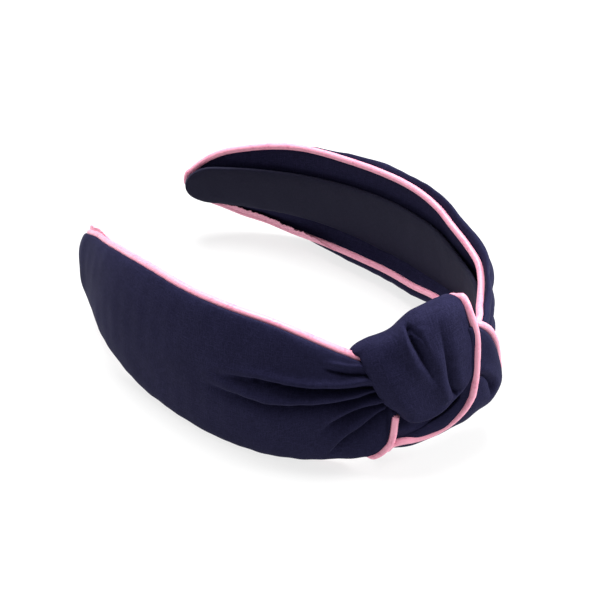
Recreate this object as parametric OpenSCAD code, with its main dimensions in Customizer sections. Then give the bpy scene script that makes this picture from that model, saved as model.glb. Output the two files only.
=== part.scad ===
// Knotted headband: a covered plastic hoop under a padded, piped sash, knotted at the crown.
// It lies on its side: +Z is square to the hoop, the knot is towards -Y, the tips towards +Y.
// Millimetres. Hoop angle 0 is the middle of the crown; it grows towards each tip.

/* [Hoop] */
// Half the width between the two arms, at the piping line
half_width = 52.7; // [48:0.1:58]
// Distance from the widest point to the crown
crown_depth = 77.5; // [72:0.5:82]
// Stretch of the arms beyond the widest point
back_stretch = 1.14; // [1.08:0.01:1.18]
// Hoop angle where the sash ends
sash_end = 146.5; // [144:0.5:148]
// Half height of the covered hoop
sleeve_half = 11; // [9:0.5:11.5]
// Thickness of the covered hoop
sleeve_thick = 2.4; // [2.2:0.1:2.5]
// Thickness of the plastic core
core_thick = 1.3; // [1:0.1:1.5]

/* [Sash] */
// Half height of the sash between its pipings at its widest
sash_half = 25.6; // [23:0.1:26]
// Half height where the right arm's sash is gathered by the knot
neck_right = 14.4; // [13:0.2:15]
// Half height where the left arm's sash is gathered by the knot
neck_left = 10; // [9:0.2:11]
// How far the outer panel stands out from its middle line
sash_bulge = 4.3; // [4:0.1:5]
// Fabric thickness
cloth = 0.8; // [0.6:0.1:0.9]
// Lean of the sash: its lower edge stands out, per millimetre of height
lean = 0.13; // [0.08:0.01:0.15]
// Diameter of the satin piping
piping_d = 2.4; // [2:0.1:2.6]

/* [Knot] */
// Height of the knot above the middle line, over its wrap
knot_half = 32; // [31:0.2:33]
// How far the knot stands out from the hoop line at its widest
knot_deep = 9.8; // [9.6:0.1:10.6]
// How far the knot stands in from the hoop line, under the hoop
knot_in = 11.4; // [11:0.1:12]

/* [Flex] */
// Hoop angle of each flexing line of the hoop
flex_at = 50; // [49.5:0.5:52]
// Widest opening angle of an arm that the gaps allow for
open_angle = 10; // [6:1:10]

/* [Hidden] */

navy = "#2b2d46";
navy_dark = "#20212f";
pink = "#f091b8";
white = "#e9e9e4";
gap = 0.25;
seam_gap = 0.5;
piping_r = piping_d / 2;
mid = sash_half + piping_r;
shift_y = 5.16;
tip_start = 83.6;
tip_reach = 66;
gather_from = 20;
gather_run = 54;
sleeve_end = sash_end + 4.5;
pivot_n = -3.6 + sleeve_thick / 2;
mm_per_degree = 1.15;
arm_start = flex_at + 0.5;
crown_end = flex_at - 0.5;

// ---- The hoop line and the sash section ----

function smooth(t) = let (c = min(1, max(0, t))) c * c * (3 - 2 * c);

// Point at hoop angle a, outward offset n and height v from the middle
function at(a, n, v) = let (
    stretch = abs(a) > 90 ? back_stretch : 1,
    d = [crown_depth * stretch * sin(a), -half_width * cos(a)],
    out = (n - lean * v) / norm(d))
    [half_width * sin(a) + out * d.x,
     shift_y - crown_depth * stretch * cos(a) + out * d.y,
     mid + v];

// Height from the middle line to the upper or lower piping. The knot sits off centre, so
// the left arm is gathered more tightly, and its lower edge drops away right beside the knot;
// $left marks a right arm that will be mirrored.
$left = false;
function sash_at(a, low = false) = let (
    past = max(0, abs(a) - tip_start) / tip_reach,
    body = sash_half * sqrt(max(0, 1 - past * past)),
    steep = low && ($left || a < 0),
    from_left = $left ? 0 : smooth((a + 15) / 30),
    neck = neck_left + (low ? 0 : (neck_right - neck_left) * from_left))
    neck + (body - neck) * smooth((abs(a) - (steep ? 31 : gather_from)) / (steep ? 26 : gather_run));

function fullness(a) = sash_at(a) / sash_half;
function bulge_at(a) = sash_bulge * pow(fullness(a), 0.9);
// How far the cloth swells beyond each piping
function over_top(a) = 1.9 * pow(fullness(a), 3);
function over_bottom(a) = 0.9 * sash_at(a, true) / sash_half;
function end_top(a) = acos(sash_at(a) / (sash_at(a) + over_top(a)));
function end_bottom(a) = acos(sash_at(a, true) / (sash_at(a, true) + over_bottom(a)));
// The sash stands out further where it is gathered to less than the hoop's height
function lift_at(a) = 1.6 * (1 - smooth((sash_at(a) - 12) / 5));

// Outer panel section [n, v] at share s of the way from the upper edge to the lower, t in from the face
function panel(a, s, t) = let (
    angle = -end_top(a) + s * (180 + end_top(a) + end_bottom(a)),
    tall = cos(angle) > 0 ? sash_at(a) + over_top(a) : sash_at(a, true) + over_bottom(a))
    [lift_at(a) + bulge_at(a) / 2 + (bulge_at(a) - t) * sin(angle), (tall - t) * cos(angle)];

function upper_edge(a) = panel(a, 0, 0);
function lower_edge(a) = panel(a, 1, 0);

// Facing section, between the covered hoop and the padding
facing_dip = 1.1;
function facing(a, s, t) = let (
    top = sash_at(a) - piping_r - gap,
    bottom = piping_r + gap - sash_at(a, true),
    across = 2 * s - 1,
    edge = upper_edge(a)[0] + (lower_edge(a)[0] - upper_edge(a)[0]) * s)
    [edge - facing_dip * (1 - pow(across, 4)) + t, top + (bottom - top) * s];

// The flexing line: pieces of an arm begin further along where they stand further out
function arm_from(n) = arm_start + max(0, n - pivot_n) * (open_angle + 2) * PI / 180 / mm_per_degree;
function spread(from, to, i, count) = from + (to - from) * i / count;
// As spread, with the steps getting shorter towards the end
function closing(from, to, i, count) = to - (to - from) * pow(1 - i / count, 1.5);

// ---- Builders ----

function flat(g) = [for (row = g) each row];

// Closed solid between two grids of points, a and b; ring joins the last row to the first
module sheet(a, b, ring = false) {
    rows = len(a);
    cols = len(a[0]);
    base = rows * cols;
    last = ring ? rows - 1 : rows - 2;
    function id(i, j) = (i % rows) * cols + j;
    faces = [
        for (i = [0 : last], j = [0 : cols - 2]) each [
            [id(i, j), id(i, j + 1), id(i + 1, j + 1)],
            [id(i, j), id(i + 1, j + 1), id(i + 1, j)],
            [base + id(i, j), base + id(i + 1, j + 1), base + id(i, j + 1)],
            [base + id(i, j), base + id(i + 1, j), base + id(i + 1, j + 1)]],
        for (i = [0 : last]) each [
            [id(i, 0), id(i + 1, 0), base + id(i + 1, 0)],
            [id(i, 0), base + id(i + 1, 0), base + id(i, 0)],
            [id(i, cols - 1), base + id(i + 1, cols - 1), id(i + 1, cols - 1)],
            [id(i, cols - 1), base + id(i, cols - 1), base + id(i + 1, cols - 1)]],
        if (!ring) for (j = [0 : cols - 2]) each [
            [id(0, j), base + id(0, j + 1), id(0, j + 1)],
            [id(0, j), base + id(0, j), base + id(0, j + 1)],
            [id(rows - 1, j), id(rows - 1, j + 1), base + id(rows - 1, j + 1)],
            [id(rows - 1, j), base + id(rows - 1, j + 1), base + id(rows - 1, j)]]];
    polyhedron(points = concat(flat(a), flat(b)), faces = faces);
}

// Solid with a closed section at each row, capped at both ends, or joined in a ring
module tube(rows_in, ring = false) {
    rows = len(rows_in);
    cols = len(rows_in[0]);
    last = ring ? rows - 1 : rows - 2;
    function id(i, j) = (i % rows) * cols + j % cols;
    faces = [
        for (i = [0 : last], j = [0 : cols - 1]) each [
            [id(i, j), id(i, j + 1), id(i + 1, j + 1)],
            [id(i, j), id(i + 1, j + 1), id(i + 1, j)]],
        if (!ring) [for (j = [cols - 1 : -1 : 0]) j],
        if (!ring) [for (j = [0 : cols - 1]) id(rows - 1, j)]];
    polyhedron(points = flat(rows_in), faces = faces);
}

// Round cord of radius r along points p
cord_sides = 8;
module cord(p, r, ring = false) {
    count = len(p);
    function ahead(i) = let (
        q = ring ? p[(i + 1) % count] : p[min(i + 1, count - 1)],
        o = ring ? p[(i + count - 1) % count] : p[max(i - 1, 0)])
        (q - o) / norm(q - o);
    rows = [for (i = [0 : count - 1]) let (
        side0 = cross(ahead(i), [0.12, 0.08, 1]),
        side = side0 / norm(side0),
        lift = cross(side, ahead(i)))
        [for (k = [0 : cord_sides - 1]) let (g = -360 * k / cord_sides)
            p[i] + r * cos(g) * side + r * sin(g) * lift]];
    tube(rows, ring);
}

// ---- Covered hoop ----

arm_rows = 28;
core_margin = 1.6;
round_from = sleeve_end - 11;
// The hoop is widest beside the gathers and tapers to its tips
function hoop_half(a) = let (
    taper = sleeve_half + 3.2 * (smooth((abs(a) - 45) / 20) - smooth((abs(a) - 75) / 45))
            - 1.5 * smooth((abs(a) - 110) / 35),
    along = max(0, abs(a) - round_from) / (sleeve_end - round_from))
    taper * max(0.3, sqrt(max(0, 1 - along * along)));
// Outward offset of the covered hoop's inner face: it leaves the sash a little at the tips
function sleeve_in(a) = -3.6 - 1.6 * smooth((abs(a) - 100) / 30);

// Rounded strip section, half its height and from n0 to n1 across
strip_sides = 12;
function strip(a, half, n0, n1) = [for (k = [0 : strip_sides - 1]) let (
    g = 360 * k / strip_sides + 15,
    c = cos(g), s = sin(g))
    at(a, (n0 + n1) / 2 + (n1 - n0) / 2 * sign(c) * pow(abs(c), 0.5),
       half * sign(s) * pow(abs(s), 0.35))];

module core_span(from, to, rows) {
    tube([for (i = [0 : rows]) let (a = to > 90 ? closing(from, to, i, rows) : spread(from, to, i, rows))
        let (from_in = sleeve_in(a) + (sleeve_thick - core_thick) / 2)
        strip(a, hoop_half(a + 2.5 * smooth((a - 120) / 20)) - core_margin,
              from_in, from_in + core_thick)]);
}

module sleeve_span(from, to, rows, closed_end) {
    wall = (sleeve_thick - core_thick) / 2 - gap / 2;
    outer_rows = [for (i = [0 : rows])
        let (a = closed_end ? closing(from, to, i, rows) : spread(from, to, i, rows))
        strip(a, hoop_half(a), sleeve_in(a), sleeve_in(a) + sleeve_thick)];
    inner_to = closed_end ? to - 1.3 : to;
    inner_rows = [for (i = [0 : rows])
        let (a = closed_end ? closing(from, inner_to, i, rows) : spread(from, to, i, rows))
        strip(a, hoop_half(a + 1.3 * smooth((a - 120) / 20)) - core_margin / 2,
              sleeve_in(a) + wall, sleeve_in(a) + sleeve_thick - wall)];
    cols = strip_sides;
    base = (rows + 1) * cols;
    function id(i, j) = i * cols + j % cols;
    faces = [
        for (i = [0 : rows - 1], j = [0 : cols - 1]) each [
            [id(i, j), id(i, j + 1), id(i + 1, j + 1)],
            [id(i, j), id(i + 1, j + 1), id(i + 1, j)],
            [base + id(i, j), base + id(i + 1, j + 1), base + id(i, j + 1)],
            [base + id(i, j), base + id(i + 1, j), base + id(i + 1, j + 1)]],
        for (j = [0 : cols - 1]) each [
            [id(0, j), base + id(0, j + 1), id(0, j + 1)],
            [id(0, j), base + id(0, j), base + id(0, j + 1)]],
        if (!closed_end) for (j = [0 : cols - 1]) each [
            [id(rows, j), id(rows, j + 1), base + id(rows, j + 1)],
            [id(rows, j), base + id(rows, j + 1), base + id(rows, j)]],
        if (closed_end) [for (j = [0 : cols - 1]) id(rows, j)],
        if (closed_end) [for (j = [cols - 1 : -1 : 0]) base + id(rows, j)]];
    polyhedron(points = concat(flat(outer_rows), flat(inner_rows)), faces = faces);
}

module core_crown() { color(white) core_span(-crown_end, crown_end, 20); }
module core_right() { color(white) core_span(arm_start, sleeve_end - 2.6, arm_rows); }
module core_left() { mirror([1, 0, 0]) core_right(); }
module sleeve_crown() { color(navy_dark) sleeve_span(-crown_end, crown_end, 20, false); }
module sleeve_right() { color(navy_dark) sleeve_span(arm_start, sleeve_end, arm_rows, true); }
module sleeve_left() { mirror([1, 0, 0]) sleeve_right(); }

// ---- Sash arms ----

panel_cols = 14;
facing_cols = 6;

// Point of a section on an arm, begun behind the flexing line
function on_arm(i, pt) = at(spread(arm_from(pt[0]), sash_end, i, arm_rows), pt[0], pt[1]);
function row_angle(i) = spread(arm_start + 1, sash_end, i, arm_rows);
function panel_grid(t, cols) = [for (i = [0 : arm_rows]) [for (j = [0 : cols])
    on_arm(i, panel(row_angle(i), j / cols, t))]];
function facing_grid(t) = [for (i = [0 : arm_rows]) [for (j = [0 : facing_cols])
    on_arm(i, facing(row_angle(i), j / facing_cols, t))]];

module sash_outer_right() {
    color(navy) sheet(panel_grid(cloth, panel_cols), panel_grid(0, panel_cols));
}
module sash_facing_right() { color(navy) sheet(facing_grid(0), facing_grid(cloth)); }

padding_cols = 10;
module sash_padding_right() {
    t = cloth + gap;
    inner = [for (i = [0 : arm_rows]) [for (j = [0 : padding_cols]) let (
        a = row_angle(i),
        s = j / padding_cols)
        on_arm(i, facing(a, 0.03 + 0.94 * s, cloth + gap))]];
    outer = [for (i = [0 : arm_rows]) [for (j = [0 : padding_cols]) let (
        a = row_angle(i),
        s = 0.08 + 0.84 * j / padding_cols)
        on_arm(i, panel(a, s, t))]];
    color(white) sheet(inner, outer);
}

function upper_line(a) = at(a, upper_edge(a)[0] - piping_r - seam_gap, upper_edge(a)[1]);
function lower_line(a) = at(a, lower_edge(a)[0] - piping_r - seam_gap, lower_edge(a)[1]);
cord_rows = 38;
cord_start = arm_from(upper_edge(arm_start)[0]);

module piping_upper_right() {
    color(pink) cord([for (i = [0 : cord_rows]) upper_line(spread(cord_start, sash_end, i, cord_rows))],
                     piping_r);
}
module piping_lower_right() {
    color(pink) cord([for (i = [0 : cord_rows]) lower_line(spread(cord_start, sash_end, i, cord_rows))],
                     piping_r);
}

// Raw edge of the satin piping strip, showing beside a piping near the tip: the lower piping
// on the right arm and the upper one on the left arm
flange_w = 2.6;
flange_rows = 12;
module piping_flange_right() {
    function edge(a, side, t) = let (line = $left ? upper_edge(a) : lower_edge(a))
        at(a, line[0] - piping_d - seam_gap - gap - t, line[1] - flange_w / 2 + side * flange_w);
    function grid(t) = [for (i = [0 : flange_rows]) [for (side = [0, 1])
        edge(spread($left ? 122 : 104, sash_end - 5, i, flange_rows), side, t)]];
    color(pink) sheet(grid(0), grid(0.4));
}

// Two hand stitches that hold the sash to the covered hoop at the tip
module tip_stitches_right() {
    color(navy_dark) for (v = [-5, 5]) let (p = at(sash_end - 1.2, sleeve_in(sash_end) - 0.55, v))
        translate(p) rotate([0, 0, 43]) rotate([90, 0, 0]) cylinder(d = 0.6, h = 2.6, center = true, $fn = 16);
}

module sash_outer_left() { mirror([1, 0, 0]) sash_outer_right($left = true); }
module sash_facing_left() { mirror([1, 0, 0]) sash_facing_right($left = true); }
module sash_padding_left() { mirror([1, 0, 0]) sash_padding_right($left = true); }
module piping_upper_left() { mirror([1, 0, 0]) piping_upper_right($left = true); }
module piping_lower_left() { mirror([1, 0, 0]) piping_lower_right($left = true); }
module piping_flange_left() { mirror([1, 0, 0]) piping_flange_right($left = true); }
module tip_stitches_left() { mirror([1, 0, 0]) tip_stitches_right(); }

// ---- Crown: the gathered sash that runs under the knot ----

crown_rows = 40;
module sash_crown() {
    function side(t, face) = [for (i = [0 : crown_rows]) [for (j = [0 : 10]) let (
        a = spread(-crown_end, crown_end, i, crown_rows),
        pt = face ? panel(a, j / 10, 0) : facing(a, 0.04 + 0.92 * j / 10, 0))
        at(a, pt[0], pt[1])]];
    color(navy) sheet(side(0, false), side(0, true));
}

module crown_cord(upper) {
    function line(a) = upper ? upper_line(a) : lower_line(a);
    for (ends = [[-crown_end, -22], [-6, crown_end]])
        cord([for (i = [0 : 18]) line(spread(ends[0], ends[1], i, 18))], piping_r);
}
module piping_crown_upper() { color(pink) crown_cord(true); }
module piping_crown_lower() { color(pink) crown_cord(false); }

// ---- Knot: rings round the hoop; turn 0 is the top, 90 the outside, 180 the bottom ----

wrap_thick = 1.4;
wrap_rows = 44;
wrap_cols = 8;
strand_rows = 26;
cord_gap = piping_r + 0.75;
// Millimetres along the hoop line to a degree of hoop angle, at the knot
mm_across = 1.04;
// Turn counted from the top down either side, and the wrap's slant: it covers the top of
// the knot, and narrows to a neck under the lower left
function down(turn) = turn > 180 ? 360 - turn : turn;
function wrap_left(turn) = -47.5 + 11.5 * smooth((down(turn) - 30) / 60) - 4.5 * smooth((down(turn) - 95) / 50);
function wrap_right(turn) = -8 - 24 * smooth((down(turn) - 72) / 84);

// Size of the ring at hoop angle a: tall over the wrap and lower towards its left corner,
// shallow under the sash on the right, and deepest where the second strand crosses
function knot_top(a) = knot_half - 10.6 + 10.6 * smooth((a + 48) / 26) + 0.1 * max(0, a + 22);
function knot_bottom(a) = 14.6 + 5.1 * smooth((4 - a) / 38);
function knot_out(a) = knot_deep - 2.2 - 0.6 * smooth((a + 44) / 14) + 2.8 * smooth((a + 30) / 26);

// Point on the knot at turn round the hoop, hoop angle a, t in from its face
function on_knot(turn, a, t) = let (
    half = cos(turn) > 0 ? knot_top(a) : knot_bottom(a),
    deep = sin(turn) > 0 ? knot_out(a) : knot_in)
    at(a, (deep - t) * sin(turn), (half - t) * cos(turn));

// Degrees of hoop angle that keep one millimetre square across the wrap's slanting right edge
function slant(turn) = let (
    rise = norm(on_knot(turn + 2, -20, 0) - on_knot(turn - 2, -20, 0)),
    run = mm_across * (wrap_right(turn + 2) - wrap_right(turn - 2)) / rise)
    sqrt(1 + run * run) / mm_across;
function cord_at(turn) = wrap_right(turn) + cord_gap * slant(turn);
function strand_left(turn) = wrap_right(turn) + (2 * cord_gap - 0.1) * slant(turn);
function strand_right(turn) = -8 + 14 * smooth((turn - 38) / 66);

// The outer face rolls in by a millimetre or so towards its two edges
function roll(s) = 0.9 * pow(2 * s - 1, 4);

module knot_wrap() {
    function grid(t) = [for (i = [0 : wrap_rows - 1]) let (turn = 360 * i / wrap_rows)
        [for (j = [0 : wrap_cols]) let (s = j / wrap_cols)
            on_knot(turn, spread(wrap_left(turn), wrap_right(turn), s, 1), t == 0 ? roll(s) : t)]];
    color(navy) sheet(grid(0), grid(wrap_thick), true);
}

module knot_wrap_piping() {
    rows = 72;
    color(pink) cord([for (i = [0 : rows - 1]) let (turn = 360 * i / rows)
        on_knot(turn, cord_at(turn), piping_r)], piping_r, true);
}

strand_from = 72;
strand_to = 268;
module knot_strand() {
    function grid(t) = [for (i = [0 : strand_rows]) let (turn = spread(strand_from, strand_to, i, strand_rows))
        [for (j = [0 : wrap_cols]) let (s = j / wrap_cols)
            on_knot(turn, spread(strand_left(turn), strand_right(turn), s, 1), t == 0 ? roll(s) : t)]];
    color(navy) sheet(grid(0), grid(wrap_thick));
}

module knot_strand_piping() {
    rows = 32;
    color(pink) cord([for (i = [0 : rows]) let (turn = spread(strand_from + 4, strand_to, i, rows))
        on_knot(turn, strand_right(turn) + 1.7, piping_r)], piping_r);
}

// A roll of wadding that fills the top of the knot, above the gathered sash
module knot_wadding() {
    color(white) tube([for (i = [0 : 8]) let (a = spread(-27, -12, i, 8))
        [for (k = [0 : 9]) at(a, -0.8 + 2.6 * cos(36 * k), 21.5 + 2.8 * sin(36 * k))]]);
}

// Hand stitches that tack the knot to itself on the inside of the hoop
module knot_stitches() {
    function turn_at(v) = 360 - acos(v / (v > 0 ? knot_top(-28) : knot_bottom(-28)));
    color(navy_dark) for (v = [-8, 0, 8]) translate(on_knot(turn_at(v), -28, -0.6))
        rotate([0, 0, -38]) rotate([0, 90, 0]) cylinder(d = 0.6, h = 4, center = true, $fn = 16);
}

core_crown();
core_left();
core_right();
sleeve_crown();
sleeve_left();
sleeve_right();
sash_outer_left();
sash_outer_right();
sash_facing_left();
sash_facing_right();
sash_padding_left();
sash_padding_right();
piping_upper_left();
piping_upper_right();
piping_lower_left();
piping_lower_right();
piping_flange_left();
piping_flange_right();
tip_stitches_left();
tip_stitches_right();
sash_crown();
piping_crown_upper();
piping_crown_lower();
knot_wrap();
knot_wrap_piping();
knot_strand();
knot_strand_piping();
knot_wadding();
knot_stitches();
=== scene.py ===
import math

import bpy
import numpy as np
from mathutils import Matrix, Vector


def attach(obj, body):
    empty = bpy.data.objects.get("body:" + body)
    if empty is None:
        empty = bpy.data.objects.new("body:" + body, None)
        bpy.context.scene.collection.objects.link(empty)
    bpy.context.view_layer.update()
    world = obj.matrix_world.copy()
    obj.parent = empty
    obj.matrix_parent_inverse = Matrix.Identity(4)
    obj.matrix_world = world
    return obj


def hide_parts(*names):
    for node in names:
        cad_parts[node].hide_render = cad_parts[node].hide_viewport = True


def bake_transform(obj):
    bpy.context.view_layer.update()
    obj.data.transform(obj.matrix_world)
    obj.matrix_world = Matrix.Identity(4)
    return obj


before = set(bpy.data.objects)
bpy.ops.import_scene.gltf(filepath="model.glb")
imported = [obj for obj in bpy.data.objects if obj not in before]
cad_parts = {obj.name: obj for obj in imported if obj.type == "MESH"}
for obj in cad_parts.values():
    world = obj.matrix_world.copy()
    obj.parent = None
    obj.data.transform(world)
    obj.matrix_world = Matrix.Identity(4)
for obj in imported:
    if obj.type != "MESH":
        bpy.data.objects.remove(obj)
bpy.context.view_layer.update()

# A knotted headband lying on its side. All sizes below are in millimetres and degrees; meshes are
# scaled to metres when they are made. Hoop angle 0 is the middle of the crown, and negative angles
# run along the left arm. n is the distance out from the hoop line, v the height from the middle.
#
# The lists marked traced, measured, fitted or sized below were not chosen by hand: their numbers were
# printed by other programs, from the photograph or, for FLAT, from the built surfaces, and then rounded
# or retuned. Most of the sizes from HALF_WIDTH to TIP_REACH come from a fit too.

MM = 0.001
HALF_WIDTH = 52.7
CROWN_DEPTH = 77.5
BACK_STRETCH = 1.14
SHIFT_Y = 5.16
MID = 26.8
LEAN = 0.13
SASH_END = 146.5
SASH_HALF = 25.6
SASH_BULGE = 4.3
NECK_RIGHT = 14.4
NECK_LEFT = 10.0
TIP_START = 83.6
TIP_REACH = 66.0
CLOTH = 0.8
PIPING_R = 1.2
SEAM_GAP = 0.25
SLEEVE_HALF = 11.0
SLEEVE_THICK = 2.4
SLEEVE_END = SASH_END + 2.4
UNDER_KNOT = -20.0
# Hoop angle by the knot's left edge: the near arm's rows are closer together up to here
KNOT_MOUTH = -38
# How far past SASH_END the cloth and its piping round off, in degrees
CLOTH_ROUND = 1.9
PIPING_ROUND = 1.7
# Rough length of the outer panel's section, in half heights
GIRTH = 2.15
# Millimetres to a degree of hoop angle at the knot
PER_DEGREE = 1.04
# Radii of the satin cords, a little over PIPING_R
SATIN_R = PIPING_R * 1.04
NEAR_UPPER_SATIN_R = PIPING_R * 1.16
# Hoop angles at the ends of each arm's flexing zone; on_arm reads them, but nothing is bent there
FLEX_START = 44
FLEX_END = 60


# ---- Curves and noise ----

def smooth(t):
    """0 to 1 with level ends, as t goes from 0 to 1."""
    t = np.clip(t, 0, 1)
    return t * t * (3 - 2 * t)


def through(x, points):
    """Smooth curve through (x, y) points, read at x, level beyond its two ends."""
    xs, ys = np.array(points, float).T
    slope = np.gradient(ys, xs)
    slope[0] = slope[-1] = 0
    x = np.clip(x, xs[0], xs[-1])
    i = np.clip(np.searchsorted(xs, x, side="right") - 1, 0, len(xs) - 2)
    step = xs[i + 1] - xs[i]
    t = (x - xs[i]) / step
    return ((1 + 2 * t) * (1 - t) ** 2 * ys[i] + t * (1 - t) ** 2 * step * slope[i]
            + t * t * (3 - 2 * t) * ys[i + 1] + t * t * (t - 1) * step * slope[i + 1])


def ripple(x, y, size, seed):
    """Soft irregular waves from about -1 to 1, with features about size across."""
    rng = np.random.default_rng(seed)
    total = 0
    for _ in range(7):
        way = rng.uniform(0, 2 * math.pi)
        rate = 2 * math.pi / size * rng.uniform(0.6, 1.5)
        phase = rng.uniform(0, 2 * math.pi)
        total = total + np.sin(rate * (x * math.cos(way) + y * math.sin(way)) + phase)
    return total / 3.2


def from_line(x, y, points):
    """Signed distance from a smooth line through points, and the share along it, at each (x, y)."""
    points = np.array(points, float)
    knots = np.arange(len(points))
    fine = np.linspace(0, len(points) - 1, 14 * len(points))
    px = through(fine, np.stack([knots, points[:, 0]], 1))
    py = through(fine, np.stack([knots, points[:, 1]], 1))
    best = np.full(np.shape(x), 1e9)
    side = np.zeros(np.shape(x))
    along = np.zeros(np.shape(x))
    for i in range(len(fine) - 1):
        dx, dy = px[i + 1] - px[i], py[i + 1] - py[i]
        square = dx * dx + dy * dy
        t = np.clip(((x - px[i]) * dx + (y - py[i]) * dy) / square, 0, 1)
        ex, ey = x - px[i] - t * dx, y - py[i] - t * dy
        far = np.hypot(ex, ey)
        near = far < best
        best = np.where(near, far, best)
        side = np.where(near, np.sign(dx * ey - dy * ex), side)
        along = np.where(near, (i + t) / (len(fine) - 1), along)
    return best * side, along


# ---- The hoop line and the sash section ----

def at(a, n, v):
    """Point at hoop angle a, n out from the hoop line and v up from the middle."""
    a, n, v = np.broadcast_arrays(a, n, v)
    turn = np.radians(a)
    depth = CROWN_DEPTH * np.where(np.abs(a) > 90, BACK_STRETCH, 1)
    dx = depth * np.sin(turn)
    dy = -HALF_WIDTH * np.cos(turn)
    out = (n - LEAN * v) / np.hypot(dx, dy)
    return np.stack([HALF_WIDTH * np.sin(turn) + out * dx,
                     SHIFT_Y - depth * np.cos(turn) + out * dy,
                     MID + v], -1)


def arc_length(a):
    """Distance along the hoop line from the middle of the crown."""
    fine = np.linspace(-160, 160, 641)
    line = at(fine, 0, 0)
    steps = np.linalg.norm(np.diff(line, axis=0), axis=1)
    total = np.concatenate([[0], np.cumsum(steps)])
    total -= np.interp(0, fine, total)
    return np.interp(a, fine, total)


# Small unevenness of the upper piping's height, measured: (hoop angle, millimetres) points
TOP_UNEVEN = [(-146, -0.4), (-128, -0.4), (-118, 0.8), (-106, 1.6), (-95, 0.8), (-80, 0.75), (-65, 0.4),
              (-52, 0), (50, -0.3), (60, 0), (76, -0.2), (95, -0.9), (112, -0.4), (128, -1.2), (146, -0.6)]
# How far the far arm stands out by the knot, measured: (hoop angle, millimetres) points
RIGHT_LIFT = [(6, -1.0), (10, -0.8), (17, -1.4), (24, -0.8), (31, 0.4), (38, 1.4), (46, 0.5), (54, -0.4),
              (62, 0)]
# How full the far arm is, measured and retuned: (hoop angle, share of its bulge) points
RIGHT_BULGE = [(5, 0.5), (20, 0.75), (26, 0.65), (32, 0.46), (38, 0.85), (44, 1.2), (50, 1.1), (62, 0.88),
               (74, 0.92), (84, 1.07), (96, 1.0)]
# Lower edge of the near sash, which curls up in front of the knot, traced and retuned: (hoop angle,
# height) points
LEFT_CURL = [(-75, 25.3), (-66, 25.1), (-61, 24.6), (-56, 23.6), (-50, 22.2), (-46, 20.3), (-43.2, 18.4),
             (-40.5, 17.3), (-38.8, 15.6), (-37.6, 13.4), (-36.8, 10.6), (-36.4, 7), (-36.1, 2),
             (-35.8, 0.4)]


def half_height(a, low=False):
    """Height from the middle to the upper piping, or to the lower one."""
    past = np.clip(np.abs(a) - TIP_START, 0, None) / TIP_REACH
    body = SASH_HALF * np.sqrt(np.clip(1 - past * past, 0.01, 1))
    neck = NECK_LEFT + (NECK_RIGHT - NECK_LEFT) * smooth((a + 15) / 30)
    gathered = neck + (body - neck) * smooth((np.abs(a) - 20) / 54)
    if not low:
        tip = np.clip((np.abs(a) - 132) / (SASH_END - 132), 0, 1)
        return (gathered + through(a, TOP_UNEVEN)) * np.sqrt(1 - np.where(a < 0, 0.15, 0.45) * tip * tip)
    slim = NECK_LEFT + (body - NECK_LEFT) * smooth((np.abs(a) - 20) / 54)
    slim = slim - 1.5 * smooth((a - 112) / 12) - 1.2 * smooth((a - 128) / 10)
    curled = through(a, LEFT_CURL)
    settled = body + (curled - body) * smooth((a + 84) / 12)
    return np.where(a < UNDER_KNOT, settled, slim)


def fullness(a):
    """Half height as a share of the sash's widest."""
    return half_height(a) / SASH_HALF


def under_wrap(a):
    """0 to 1 under the knot's wrap, where the near sash is pressed flat."""
    return smooth((a + 37.5) / 3) * smooth(-a / 6)


def bulge_at(a):
    """How far the outer panel stands out from its middle line."""
    pressed = np.where(a < 0, 1 - 0.6 * under_wrap(a), through(a, RIGHT_BULGE))
    return SASH_BULGE * np.sqrt(fullness(a)) * pressed


def over_top(a):
    """How far the outer panel rises above the upper piping."""
    swell = smooth((105 - np.abs(a)) / 45) * smooth((np.abs(a) - 5) / 30)
    return 0.1 + np.where(a < 0, 0.15, 2.8) * swell + 0.9 * smooth((a - 76) / 10) * smooth((112 - a) / 18)


def over_bottom(a):
    """How far the outer panel hangs below its lower half height."""
    return 0.9 * half_height(a, True) / SASH_HALF


def under_roll(a):
    """0 to 1: how far the cloth rolls in under the padding before it meets the lower piping."""
    size = np.abs(a)
    start = np.where(a < 0, 52, 12)
    return smooth((size - start) / 18) * smooth((128 - size) / 40)


def low_edge(a):
    """Height from the middle down to where the cloth meets the lower piping."""
    return half_height(a, True) - (6.2 + 1.0 * smooth((90 - a) / 20)) * under_roll(a)


def lift_at(a):
    """How far the whole section stands out from the hoop line."""
    left = 1.6 * (1 - smooth((half_height(a) - 12) / 5)) - 1.6 * under_wrap(a)
    return np.where(a < 0, left, through(a, RIGHT_LIFT))


def lower_curl(a):
    """How far the near sash's lower edge stands out as it curls up beside the knot."""
    flap = 3.2 * smooth((a + 50) / 7) + 2.5 * smooth((a + 38) / 3)
    return np.where(a < UNDER_KNOT, flap * smooth((-33 - a) / 2), 0)


def section(a, s, rise):
    """Outer panel [n, v] at share s of the way from the upper edge to the lower, rise out of it."""
    top, low = half_height(a), half_height(a, True)
    tall_top, tall_low = top + over_top(a), low + over_bottom(a)
    end_top = np.arccos(top / tall_top)
    under = (tall_low - low_edge(a)) / 1.42
    reach = (0.26 * bulge_at(a) + (9.1 - 1.2 * smooth((70 - a) / 15)) * under_roll(a)) / 0.906
    far = end_top + math.pi
    tuck = 0.3 + 0.5 * under_roll(a)
    angle = -end_top + s * (far + tuck)
    bulge = bulge_at(a)
    turned = np.clip((angle - math.pi) / tuck, 0, 1) * math.radians(115)
    below = angle > math.pi
    tall = np.where(np.cos(angle) > 0, tall_top, tall_low)
    n = np.where(below, -(reach + rise) * np.sin(turned), (bulge + rise) * np.sin(angle))
    v = np.where(below, -tall_low + under - (under + rise) * np.cos(turned), (tall + rise) * np.cos(angle))
    curl = lower_curl(a) * smooth(2 * s - 1)
    return n + lift_at(a) + bulge / 2 + curl, v


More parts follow.
